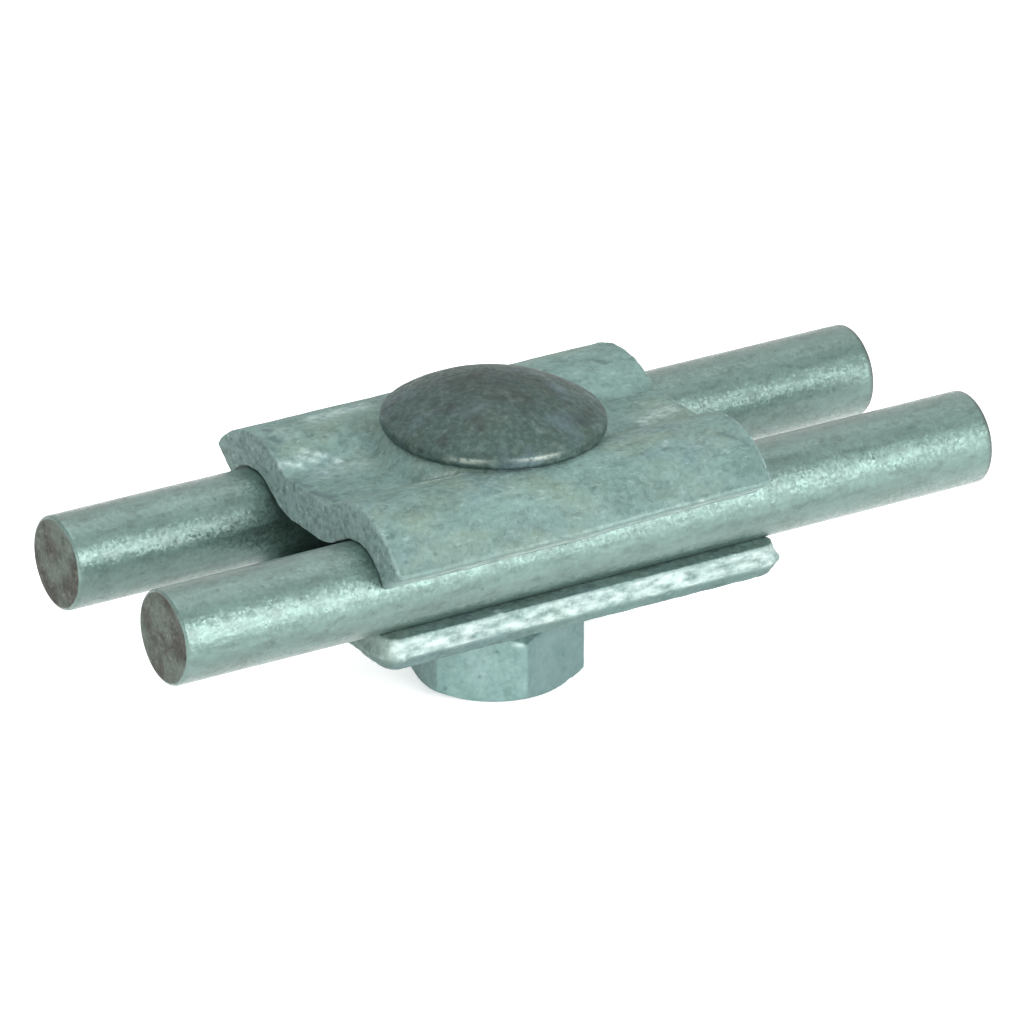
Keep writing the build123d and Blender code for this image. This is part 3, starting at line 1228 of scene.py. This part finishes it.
@dataclass(kw_only=True)
class LowerClampPlate(ClampPlate):
    """The nearly flat lower plate with two shallow coined grooves and a round hole."""

    node: str = "lower_clamp_plate"
    body: Body = Body.LOWER_HALF
    half_length: float = 24.2
    offset: float = 2.3
    half_width: float = 15.3
    thickness: float = 3.8
    bottom: float = 10.5
    corner_round: float = 2.2
    edge: tuple[Point, ...] = (
        (0.95, 1.9, 0.0), (0.55, 1.9, 0.16), (0.0, -0.15, 0.24),
        (0.75, -1.55, 0.35), (1.35, -1.9, 0.3), (1.7, -1.9, 0.0),
    )
    groove_depth: float = 0.3
    hole_radius: float = 5.5
    hole_blend: float = 7.0
    right_bulge: Bulge = Bulge(0.75, 1.6, 0.36, 0.26)
    left_bulge: Bulge = Bulge(0.4, 2.0, 0.22, 0.3)
    lobe_width: float = 3.2
    lobe_depth: float = 0.4
    side_tear: float = 0.6
    rough_from: tuple[float, float] = (0.3, 0.55)
    rough_share: float = 0.8
    highlight_from: tuple[float, float] = (0.4, 0.5)
    highlight_to: tuple[float, float] = (0.9, 1.0)
    front_wear_and_highlight: float = 0.85
    shade_to: tuple[float, float] = (0.3, 0.46)
    foot_shade: float = 0.45
    end_loss: float = 0.6
    sink: float = 0.02
    waves: tuple[Waves, ...] = (Waves(0.025, 7, 31), Waves(0.012, 1.6, 37))
    torn: tuple[Waves, ...] = (Waves(0.05, 1.5, 41), Waves(0.05, 0.6, 43))
    step: float = 0.34
    marks: tuple[Mark, ...] = (
        Mark((-8.1, -14.0, 14.3), (-8.0, -15.0, 14.3), 0.4, 0.12, 0.6),
        # A pale upright streak with a slight lump on the rounded front-left corner: painted highlight.
        Mark((-20.6, -15.2, 13.6), (-20.2, -15.2, 12.2), 0.7, 0.08, 0.6),
    )

    def shell(self) -> Shell:
        """Build the plate: round its hole, sink its grooves, bulge its sheared ends and weather it.

        A groove is the part of the channel's circle that reaches below the top face. The sheared edge is
        paler along a band of the front, as wear and painted highlight, and darker along its foot, painted
        shade.

        Returns:
            The plate's surface.
        """
        slab = Slab(self.half_length, self.half_width, self.thickness, self.corner_round, self.edge,
                    self.hole_radius, self.step)
        flat, quads, around = slab.flat()
        u, v, h = flat.T
        top = self.bottom + self.thickness
        u, v = self.round_hole(u, v)
        groove_z = top - self.groove_depth + LAYOUT.channel_radius
        away = np.minimum(np.abs(np.abs(v) - LAYOUT.rod_y), LAYOUT.channel_radius)
        groove = np.minimum(top, groove_z - np.sqrt(LAYOUT.channel_radius**2 - away**2))
        share = h / self.thickness + 0.5
        z = self.bottom + share * (groove - self.bottom)
        lobes = 1 - self.lobe_depth + self.lobe_depth * soft_noise(flat, self.lobe_width, 5)
        right = self.right_bulge.at(u, self.half_length, share) * lobes
        left = self.left_bulge.at(-u, self.half_length, share)
        shell = Shell(np.stack([u + self.offset + right - left, v, z], axis=1), quads)
        end = self.weather(shell, around, u)
        rough = smooth_step(share, *self.rough_from) * (self.rough_share - self.end_loss * end)
        # Wear and painted highlight on a band of the front edge, painted shade along the foot of the edge.
        highlight_band = smooth_step(share, *self.highlight_from) * (1 - smooth_step(share, *self.highlight_to))
        shell.masks["sheared"] = around * rough
        shell.masks["wear_and_highlight"] = self.front_wear_and_highlight * around * highlight_band * (v < 0) * (1 - self.end_loss * end)
        shell.masks["dark"] = self.foot_shade * around * (1 - smooth_step(share, *self.shade_to))
        return shell

    def round_hole(self, u: Array, v: Array) -> tuple[Array, Array]:
        """Draw the lattice around the square hole ring in to a circle, fading out at the plate's edges.

        Each point moves along the line to the hole's middle by the ratio of its square distance to its
        round distance, which is 1 on the axes and least at the square's corners. The hole then moves back
        by the plate's offset, so that it stays on the bolt.

        Args:
            u: Places along the plate.
            v: Places across it.

        Returns:
            The moved places.
        """
        square = np.maximum(np.abs(u), np.abs(v))
        fade = 1 - smooth_step(square, self.hole_radius, self.hole_radius + self.hole_blend)
        ratio = 1 + fade * (square / np.maximum(np.hypot(u, v), 1e-6) - 1)
        shift = self.offset * (1 - smooth_step(square, self.hole_radius + 1, self.half_width - 1))
        return u * ratio - shift, v * ratio


@dataclass(kw_only=True)
class MushroomHeadBolt(Piece):
    """The bolt: a domed head that leans a little, a square neck, a threaded shank and a chamfered tip."""

    node: str = "mushroom_head_bolt"
    body: Body = Body.UPPER_HALF
    slot: Slot = Slot.BOLT
    finish: Finish = DullZinc()
    head_radius: float = 11.9
    head_height: float = 5.2
    head_rim: float = 1.3
    edge_round: float = 0.5
    neck_half: float = 5.2
    neck_height: float = 6.0
    tip: float = 0.3
    tip_chamfer: float = 1.0
    thread_end: tuple[float, float] = (18.5, 20.5)
    lean: float = 0.026
    lean_side: tuple[float, float] = (-0.855, 0.518)
    lean_rise: tuple[float, float] = (0.02, 1.2)
    seat_inset: float = 0.4
    neck_blend: tuple[float, float] = (0.8, 0.1)
    corner_power: int = 10
    crown_gap: float = 0.012
    dome_rows: int = 36
    under_rows: int = 7
    neck_rows: int = 8
    tip_rows: int = 6
    path_step: float = 0.4
    shank_start: float = 0.15
    shank_step: float = 0.14
    columns: int = 192
    skin_from: tuple[float, float] = (0.2, 0.8)
    rim_line: tuple[float, float] = (1.0, 0.2)
    rim_edge: tuple[float, float] = (0.7, 0.2)
    rim_arcs: tuple[Point, ...] = ((226, 9, 0.7), (263, 10, 0.49))
    crown_shade: float = 0.5
    crown_width: float = 6.0
    pits: Pits = Pits(0.08, 1.4, 53, 0.62)
    waves: tuple[Waves, ...] = (Waves(0.03, 5, 59), Waves(0.012, 0.8, 61))
    skin_sink: float = 0.03
    marks: tuple[Mark, ...] = (
        Mark((-6.6, -2.6, 32.0), (-6.3, -2.9, 32.0), 0.32, -0.06, -0.9),
        Mark((-4.9, -5.9, 31.5), (-4.5, -6.0, 31.5), 0.3, -0.06, -0.9),
        Mark((-0.6, -4.9, 32.2), (-0.2, -5.1, 32.2), 0.38, -0.06, -0.9),
        Mark((1.3, -2.4, 33.0), (2.3, -2.6, 33.0), 0.6, -0.04, -0.5),
    )

    def head_path(self) -> Array:
        """Draw the head's profile from its crown to its underside: a dome of one radius, then the rim.

        Returns:
            The profile as distances from the axis and heights.
        """
        rise = self.head_height - self.head_rim
        dome = (self.head_radius**2 + rise**2) / (2 * rise)
        crown = LAYOUT.head_seat + self.head_height
        turn = np.linspace(self.crown_gap, math.asin(self.head_radius / dome), self.dome_rows)
        corners = [(float(dome * math.sin(a)), float(crown - dome * (1 - math.cos(a))), 0.0) for a in turn]
        corners[-1] = (self.head_radius, LAYOUT.head_seat + self.head_rim, self.edge_round)
        corners += [(self.head_radius, LAYOUT.head_seat, self.edge_round),
                    (LAYOUT.seat_radius - self.seat_inset, LAYOUT.head_seat, 0.0)]
        return rounded_path(corners, self.path_step)

    def shank_radius(self, angle: Array, height: Array, square: Array, top: float) -> Array:
        """Return the shank's radius: the thread, then a plain stretch, then the neck's square.

        Each blends to the next over a short height, and the tip's cone cuts off what is outside it.

        Args:
            angle: Angles around the bolt.
            height: Heights of the shank's rings.
            square: The neck's radius at the angles.
            top: The height of the neck's lower end.

        Returns:
            The radius at each height and angle.
        """
        thread = LAYOUT.thread(angle, height)
        radius = thread + (LAYOUT.thread_radius - thread) * smooth_step(height, *self.thread_end)
        below, above = self.neck_blend
        radius = radius + (square - radius) * smooth_step(height, top - below, top - above)
        cone = 1 - smooth_step(height, self.tip, self.tip + 1.1 * self.tip_chamfer)
        return np.minimum(radius, LAYOUT.thread_radius - self.tip_chamfer * cone)

    def shell(self) -> Shell:
        """Build the bolt as rings from the crown to the tip, then lean and pit its head.

        A ring's radius is the profile's on the head, a rounded square's on the neck and the shank's below.
        The rounded square is the power mean of the cosine and the sine. The head's rim is paler along two
        short arcs at the front, as wear and painted highlight, and its crown is darker, painted shade.

        Returns:
            The bolt's surface.
        """
        angle = column_angles(self.columns)[None, :]
        even = np.ones((1, self.columns))
        head = self.head_path()
        power = self.corner_power
        round_off = np.abs(np.cos(angle)) ** power + np.abs(np.sin(angle)) ** power
        square = self.neck_half / round_off ** (1 / power)
        seat, neck_end = LAYOUT.head_seat, LAYOUT.head_seat - self.neck_height
        under = head[-1, 0] + (square - head[-1, 0]) * np.linspace(0, 1, self.under_rows)[1:, None]
        neck_z = np.linspace(seat, neck_end, self.neck_rows)[1:, None]
        shank_z = np.arange(neck_end - self.shank_start, self.tip, -self.shank_step)[:, None]
        shank_z[-1] = self.tip
        shank = self.shank_radius(angle, shank_z, square, neck_end)
        foot = shank[-1:, :] * np.linspace(1, 0, self.tip_rows)[1:-1, None]
        radius = np.concatenate([head[:, :1] * even, under, square * np.ones_like(neck_z), shank, foot])
        height = np.concatenate([head[:, 1:] * even, np.full_like(under, seat), neck_z * even,
                                 shank_z * even, np.full_like(foot, self.tip)])
        crown, tip = (np.array([0, 0, level]) for level in (seat + self.head_height, self.tip))
        shell = poled_shell(spun_points(radius, height), len(radius), self.columns, crown, tip)
        shell.points[:, 2] += self.tilt(shell.points)
        x, y, z = shell.points.T
        on_head = smooth_step(z - seat, *self.skin_from)
        skin = self.pits.at(shell.points) + summed(self.waves, shell.points) - self.skin_sink
        away, around = np.hypot(x, y), degrees_around(shell.points)
        shell.raise_by(on_head * skin)
        inner, outer = self.rim_edge
        rim = smooth_step(away, self.head_radius - inner, self.head_radius - outer)
        rim = rim * bell(z - seat, *self.rim_line)
        # Two arcs of the rim's edge at the front are paler: wear and painted highlight.
        arcs = sum(paleness * bell(around, middle, width) for middle, width, paleness in self.rim_arcs)
        shell.masks["pale"] = rim * arcs
        # The crown is darkened as painted shade.
        shell.masks["dark"] = self.crown_shade * bell(away, 0, self.crown_width)
        return shell

    def tilt(self, points: Array) -> Array:
        """Return how far each point rises because the head leans: its distance to the left times the lean.

        The flat under the head stays on its seat, and the rim outside it takes up the lean.

        Args:
            points: The bolt's points.

        Returns:
            Each point's rise.
        """
        left = points[:, 0] * self.lean_side[0] + points[:, 1] * self.lean_side[1]
        away = np.hypot(points[:, 0], points[:, 1])
        over_seat = points[:, 2] - LAYOUT.head_seat
        above = smooth_step(over_seat, *self.lean_rise)
        outside = smooth_step(away, LAYOUT.seat_radius, self.head_radius)
        seated = (over_seat > -self.edge_round) * outside
        return self.lean * left * np.maximum(above, seated)


@dataclass(kw_only=True)
class HexNut(Piece):
    """The nut: a hexagon chamfered at both faces, with a real internal thread."""

    node: str = "hex_nut"
    body: Body = Body.NUT
    slot: Slot = Slot.NUT
    finish: Finish = NutZinc()
    across_flats: float = 16.8
    height: float = 8.0
    face_share: float = 0.95
    chamfer_angle: float = 30.0
    corner_angle: float = 20.0
    chamfer_depth: float = 1.02
    mouth_radius: float = 5.575
    thread_gap: float = 0.07
    crest_radius: float = 4.19
    corner_power: int = 96
    chamfer_blend: float = 0.05
    skin_from: tuple[float, float] = (7.0, 7.9)
    skin_fade: float = 0.5
    right_shade: float = 0.6
    left_shade: float = 0.45
    left_width: float = 29.0
    shade_edges: tuple[float, float] = (1.5, 2.0)
    face_rows: int = 9
    chamfer_rows: int = 13
    flat_rows: int = 18
    bore_rows: int = 58
    columns: int = 288
    pits: Pits = Pits(0.07, 1.2, 79, 0.6)
    waves: tuple[Waves, ...] = (Waves(0.03, 4, 71), Waves(0.015, 0.9, 73))
    skin_sink: float = 0.02
    marks: tuple[Mark, ...] = (
        Mark((-3.0, -8.8, 7.0), (-2.1, -9.1, 7.0), 0.28, 0.04, 0.85),
        Mark((-4.6, -7.8, 6.6), (-4.5, -7.8, 6.5), 0.3, -0.08, -0.8),
        Mark((-6.4, -6.4, 4.4), (-6.3, -6.4, 4.2), 0.25, -0.07, -0.7),
    )

    def hexagon(self, angle: Array) -> Array:
        """Return the outline's radius: the power mean of the three pairs of flats, its corners rounded.

        Args:
            angle: Angles around the bolt.

        Returns:
            The radius at each angle.
        """
        flats = [math.radians(self.corner_angle + 30 + turn) for turn in (0, 60, 120)]
        total = sum(np.abs(np.cos(angle - flat)) ** self.corner_power for flat in flats)
        return self.across_flats / 2 / total ** (1 / self.corner_power)

    def shell(self) -> Shell:
        """Build the nut as closed rings: top face, flats, bottom face and the threaded bore back up.

        On the outside the radius is the smaller of the hexagon's and the chamfer cone's. Two of the flats
        are darker than the rest, painted shade.

        Returns:
            The nut's surface.
        """
        angle = column_angles(self.columns)[None, :]
        even = np.ones((1, self.columns))
        face_radius = self.face_share * self.across_flats / 2
        slope = math.tan(math.radians(self.chamfer_angle))
        face = np.linspace(self.mouth_radius, face_radius, self.face_rows)[:, None]
        chamfer = np.linspace(0, self.chamfer_depth, self.chamfer_rows)[1:, None]
        low, high = self.chamfer_depth, self.height - self.chamfer_depth
        flat = np.linspace(low, high, self.flat_rows)[1:-1, None]
        depth = np.concatenate([chamfer, flat, self.height - chamfer[::-1]])
        cone = face_radius + np.minimum(depth, self.height - depth) / slope
        outside = -smooth_max(-self.hexagon(angle) * np.ones_like(cone), -cone * even, self.chamfer_blend)
        bore_z = np.linspace(0, self.height, self.bore_rows)[1:-1, None]
        bore = np.maximum(LAYOUT.thread(angle, bore_z) + self.thread_gap, self.crest_radius)
        bore = np.maximum(bore, self.mouth_radius - np.minimum(bore_z, self.height - bore_z))
        radius = np.concatenate([face * even, outside, face[::-1] * even, bore])
        levels = [np.full_like(face, self.height), self.height - depth, np.zeros_like(face), bore_z]
        quads = lattice_faces(len(radius), self.columns, close_rows=True, close_columns=True)
        shell = Shell(spun_points(radius, np.concatenate(levels) * even), quads)
        x, y, z = shell.points.T
        outer = smooth_step(np.hypot(x, y), *self.skin_from)
        inside = smooth_step(np.minimum(z, self.height - z), 0, self.skin_fade)
        skin = summed(self.waves, shell.points) + self.pits.at(shell.points) - self.skin_sink
        around = degrees_around(shell.points)
        shell.raise_by(outer * inside * skin)
        # Painted shade: the flat on the right and the flat on the left are darkened.
        first, last = self.corner_angle + 240, self.corner_angle + 300
        sharp, soft = self.shade_edges
        right = smooth_step(around, first - sharp, first + sharp)
        right = right - smooth_step(around, last - soft, last + soft)
        left = bell(around, self.corner_angle + 150, self.left_width)
        shell.masks["dark"] = outer * (self.right_shade * right + self.left_shade * left)
        return shell


@dataclass(kw_only=True)
class SpringWasher(Piece):
    """The split spring washer, pressed flat between the nut and the lower plate."""

    node: str = "spring_washer"
    body: Body = Body.LOWER_HALF
    slot: Slot = Slot.WASHER
    finish: Finish = NutZinc()
    bore: float = 5.15
    outer: float = 9.05
    bottom: float = 8.0
    top: float = 10.5
    slot_width: float = 1.1
    slot_angle: float = 128.0
    slot_slant: float = 20.0
    edge_round: float = 0.25
    path_step: float = 0.5
    columns: int = 150

    def shell(self) -> Shell:
        """Carry a rounded rectangle round the bolt, from one face of the slanted slot to the other.

        Returns:
            The washer's surface.
        """
        middle_r = (self.bore + self.outer) / 2
        corners = ((middle_r, self.top, 0.0), (self.outer, self.top, self.edge_round),
                   (self.outer, self.bottom, self.edge_round), (self.bore, self.bottom, self.edge_round),
                   (self.bore, self.top, self.edge_round), (middle_r, self.top, 0.0))
        path = rounded_path(corners, self.path_step)[:-1]
        slant = (path[:, 1] - (self.bottom + self.top) / 2) * math.tan(math.radians(self.slot_slant))
        opening = math.radians(self.slot_angle)
        start = opening + (self.slot_width / 2 + slant) / path[:, 0]
        end = opening + FULL_TURN + (slant - self.slot_width / 2) / path[:, 0]
        angle = start[:, None] + (end - start)[:, None] * np.linspace(0, 1, self.columns)[None, :]
        radius, height = path[:, :1] * np.ones_like(angle), path[:, 1:] * np.ones_like(angle)
        points = np.stack([radius * np.cos(angle), radius * np.sin(angle), height], axis=2)
        rows = len(path)
        quads = lattice_faces(rows, self.columns, close_rows=True, close_columns=False)
        first, count = np.arange(rows) * self.columns, rows * self.columns
        centres = np.stack([points[:, 0].mean(axis=0), points[:, -1].mean(axis=0)])
        first_cap = pole_faces(first, count)[:, ::-1]
        last_cap = pole_faces(first + self.columns - 1, count + 1)
        closed = np.concatenate([points.reshape(-1, 3), centres])
        return Shell(closed, quads, np.concatenate([first_cap, last_cap]))


@dataclass(kw_only=True)
class ConductorRod(Piece):
    """One round conductor, a short cut length of drawn and galvanised wire.

    The draw lines and both kinds of waves are given as their height and the width of one bump.
    """

    body: Body = Body.LOWER_HALF
    slot: Slot = Slot.CONDUCTOR
    finish: Finish = DrawnWireZinc()
    side: int
    left: float
    right: float
    seed: int
    zinc: float = 0.06
    core_radius: float = 0.35
    edge_round: float = 0.35
    path_step: float = 0.4
    end_length: float = 3.0
    zinc_from: tuple[float, float] = (0.12, 0.02)
    zinc_fade: float = 0.4
    draw_lines: tuple[float, float] = (0.01, 0.9)
    line_stretch: float = 12.0
    zinc_waves: tuple[float, float] = (0.015, 3.5)
    wave_stretch: float = 2.0
    saw_depth: float = 0.05
    ridge_height: float = 0.02
    ridge_spacing: float = 0.5
    ridge_grain: Point = (0.0, 0.15, 1.0)
    rim_width: float = 0.3
    rim_waves: tuple[float, float] = (0.08, 1.8)
    rim_blend: float = 0.15
    rim_depth: tuple[float, float] = (0.1, 0.18)
    shade_length: tuple[float, float] = (0.5, 0.25)
    shade_width: tuple[float, float] = (0.5, 0.3)
    columns: int = 160
    step: float = 0.3

    def shell(self) -> Shell:
        """Build the rod as rings from the left end's middle to the right end's.

        The side carries long shallow draw lines and soft waves of the zinc.

        Returns:
            The rod's surface.
        """
        radius, reach = LAYOUT.rod_radius, self.end_length
        length = self.left + self.right
        corners = ((self.core_radius, 0.0, 0.0), (radius, 0.0, self.edge_round), (radius, reach, 0.0))
        end = rounded_path(corners, self.path_step)
        along = np.linspace(reach, length - reach, math.ceil((length - 2 * reach) / self.step) + 1)[1:-1]
        side = np.stack([np.full_like(along, radius), along], axis=1)
        other = np.stack([end[::-1, 0], length - end[::-1, 1]], axis=1)
        path = np.concatenate([end, side, other])
        angle = column_angles(self.columns)[None, :]
        x = path[:, 1:] - self.left + 0 * angle
        ring = path[:, :1]
        middle_y = self.side * LAYOUT.rod_y
        points = np.stack([x, middle_y + ring * np.cos(angle), LAYOUT.rod_z - ring * np.sin(angle)], axis=2)
        first, last = (np.array([place, middle_y, LAYOUT.rod_z]) for place in (-self.left, self.right))
        shell = poled_shell(points.reshape(-1, 3), len(path), self.columns, first, last)
        places = shell.points
        away = np.hypot(places[:, 1] - middle_y, places[:, 2] - LAYOUT.rod_z)
        to_end = np.minimum(places[:, 0] + self.left, self.right - places[:, 0])
        deep, shallow = self.zinc_from
        on_side = smooth_step(away, radius - deep, radius - shallow) * smooth_step(to_end, 0, self.zinc_fade)
        lines = Waves(*self.draw_lines, self.seed).at(places / np.array([self.line_stretch, 1, 1]))
        waves = Waves(*self.zinc_waves, self.seed + 7).at(places / np.array([self.wave_stretch, 1, 1]))
        shell.raise_by(on_side * (lines + waves + self.zinc))
        self.saw_ends(shell, places, away, to_end)
        return shell

    def saw_ends(self, shell: Shell, places: Array, away: Array, to_end: Array) -> None:
        """Saw both ends: sink them inside their zinc rim, with fine ridges, and mark them as cut.

        The rim's inner edge is ragged, and the right end's rim is darkened, painted shade of its rounded
        edge.

        Args:
            shell: The rod's surface, which is changed.
            places: Its points before the zinc was laid on.
            away: Their distances from the rod's axis.
            to_end: Their distances to the nearer end.
        """
        radius = LAYOUT.rod_radius
        ragged = radius - self.rim_width + Waves(*self.rim_waves, self.seed + 11).at(places)
        cut = 1 - smooth_step(away, ragged, ragged + self.rim_blend)
        cut = cut * (1 - smooth_step(to_end, *self.rim_depth))
        grain = places * np.array(self.ridge_grain)
        ridges = self.ridge_height * soft_noise(grain, self.ridge_spacing, self.seed + 13)
        shell.points[:, 0] -= np.sign(places[:, 0]) * cut * (self.saw_depth + ridges)
        shell.masks["cut"] = cut
        # Painted shade: the rim of the right end is darkened.
        start, full = self.shade_length
        inner, outer = self.shade_width
        right_end = smooth_step(places[:, 0], self.right - start, self.right - full)
        shell.masks["dark"] = right_end * smooth_step(away, radius - inner, radius - outer)


@dataclass(frozen=True)
class SoftLamp:
    """One rectangular softbox aimed at the object: place and size in millimetres, power in watts."""

    name: str
    place: Point
    size: tuple[float, float]
    power: float

    def build(self, target: Point) -> None:
        """Make the lamp in place.

        Args:
            target: The point that its face is turned to.
        """
        data = bpy.data.lights.new(self.name, "AREA")
        data.shape = "RECTANGLE"
        data.size, data.size_y = (side * MM for side in self.size)
        data.energy = self.power
        lamp = bpy.data.objects.new(self.name, data)
        back = np.array(self.place, float) - np.array(target, float)
        back /= np.linalg.norm(back)
        right = np.cross([0.0, 0.0, 1.0], back)
        right /= np.linalg.norm(right)
        lamp.matrix_world = stand(right, back, self.place)
        bpy.context.scene.collection.objects.link(lamp)


def stand(right: Array, back: Array, place: Point) -> Matrix:
    """Return the matrix of an object that looks away from back, with its right side to the right.

    Args:
        right: The unit direction of its local X.
        back: The unit direction of its local Z.
        place: Where it stands, in millimetres.

    Returns:
        The matrix, in metres.
    """
    matrix = np.eye(4)
    matrix[:3, :3] = np.stack([right, np.cross(back, right), back], axis=1)
    matrix[:3, 3] = np.array(place) * MM
    return Matrix(matrix.tolist())


@dataclass(frozen=True)
class Studio:
    """The pale floor, the soft lamps, the white surround and the camera.

    Places, sizes and the lens are millimetres, the camera's angles are degrees and clip is metres.
    """

    camera_place: Point = (-413.98, -687.81, 380.23)
    azimuth: float = -31.195
    elevation: float = 24.284
    lens: float = 293.93
    sensor: float = 36.0
    clip: tuple[float, float] = (0.01, 20.0)
    surround: float = 0.9
    floor_size: float = 6000.0
    floor_lift: float = 0.5
    target: Point = (0.0, 0.0, 15.0)
    lamps: tuple[SoftLamp, ...] = (
        SoftLamp("front_softbox", (100, -420, 160), (300, 240), 2.25),
        SoftLamp("left_softbox", (-480, -230, 115), (300, 240), 0.95),
        SoftLamp("top_softbox", (60, 120, 620), (500, 500), 1.35),
    )

    def camera(self) -> None:
        """Stand the camera where the picture was taken from."""
        across, lift = math.radians(self.azimuth), math.radians(self.elevation)
        level = math.cos(lift)
        back = np.array([math.sin(across) * level, -math.cos(across) * level, math.sin(lift)])
        right = np.array([math.cos(across), math.sin(across), 0])
        data = bpy.data.cameras.new("camera")
        data.sensor_width = self.sensor
        data.lens = self.lens
        data.clip_start, data.clip_end = self.clip
        camera = bpy.data.objects.new("camera", data)
        camera.matrix_world = stand(right, back, self.camera_place)
        bpy.context.scene.collection.objects.link(camera)
        bpy.context.scene.camera = camera

    def seen_directly(self, tree: Tree) -> Socket:
        """Tell the rays from the camera, a mirror or through glass, which see the white background.

        Args:
            tree: The node tree of the world or the floor.

        Returns:
            1 for those rays and 0 for the rest.
        """
        share: Socket | float = 0.0
        for ray in ("Is Camera Ray", "Is Glossy Ray", "Is Transmission Ray"):
            path = add_node(tree, "ShaderNodeLightPath", output=ray)
            share = add_node(tree, "ShaderNodeMath", {0: path, 1: share}, operation="MAXIMUM")
        return share

    def world(self) -> None:
        """Surround the object with white, plain for soft light and full where it is seen."""
        world = bpy.data.worlds.new("white_surround")
        world.use_nodes = True
        tree = world.node_tree
        tree.nodes.clear()
        strength = add_node(tree, "ShaderNodeMapRange", {"Value": self.seen_directly(tree),
                                                         "To Min": self.surround, "To Max": 1.0})
        glow = add_node(tree, "ShaderNodeBackground", {"Color": (1, 1, 1, 1), "Strength": strength})
        add_node(tree, "ShaderNodeOutputWorld", {"Surface": glow})
        bpy.context.scene.world = world

    def floor(self) -> None:
        """Lay the pale floor under the nut's foot. It is white paper that keeps the object's shadow."""
        half = self.floor_size / 2
        shell = Shell(np.array([[-half, -half, 0], [half, -half, 0], [half, half, 0], [-half, half, 0]]),
                      np.array([[0, 1, 2, 3]]))
        floor = shell.build("floor")
        material = bpy.data.materials.new("white_paper")
        material.use_nodes = True
        tree = material.node_tree
        tree.nodes.clear()
        paper = add_node(tree, "ShaderNodeBsdfDiffuse", {"Color": linear_colour("#f2f2f2")})
        lift = add_node(tree, "ShaderNodeMapRange", {"Value": self.seen_directly(tree), "To Min": 0.0,
                                                     "To Max": self.floor_lift})
        glow = add_node(tree, "ShaderNodeEmission", {"Color": (1, 1, 1, 1), "Strength": lift})
        both = add_node(tree, "ShaderNodeAddShader", {0: paper, 1: glow})
        add_node(tree, "ShaderNodeOutputMaterial", {"Surface": both})
        floor.data.materials.append(material)

    def build(self) -> None:
        """Set the whole studio up."""
        bpy.context.scene.view_settings.view_transform = "Standard"
        self.camera()
        self.world()
        self.floor()
        for lamp in self.lamps:
            lamp.build(self.target)


def corners(bounds: tuple) -> list[list[float]]:
    """Return a box's lowest and highest corners as plain lists."""
    return [[float(value) for value in corner] for corner in bounds]


def main() -> None:
    """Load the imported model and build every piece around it."""
    logging.basicConfig(level=logging.INFO, format="%(message)s")
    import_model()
    pieces = (
        UpperClampPlate(),
        LowerClampPlate(),
        MushroomHeadBolt(),
        HexNut(),
        SpringWasher(),
        ConductorRod(node="conductor_rod_front", side=-1, left=45.65, right=52.55, seed=101),
        ConductorRod(node="conductor_rod_rear", side=1, left=46.3, right=51.7, seed=131),
    )
    for piece in pieces:
        piece.build()
    Studio().build()


if __name__ == "__main__":
    main()
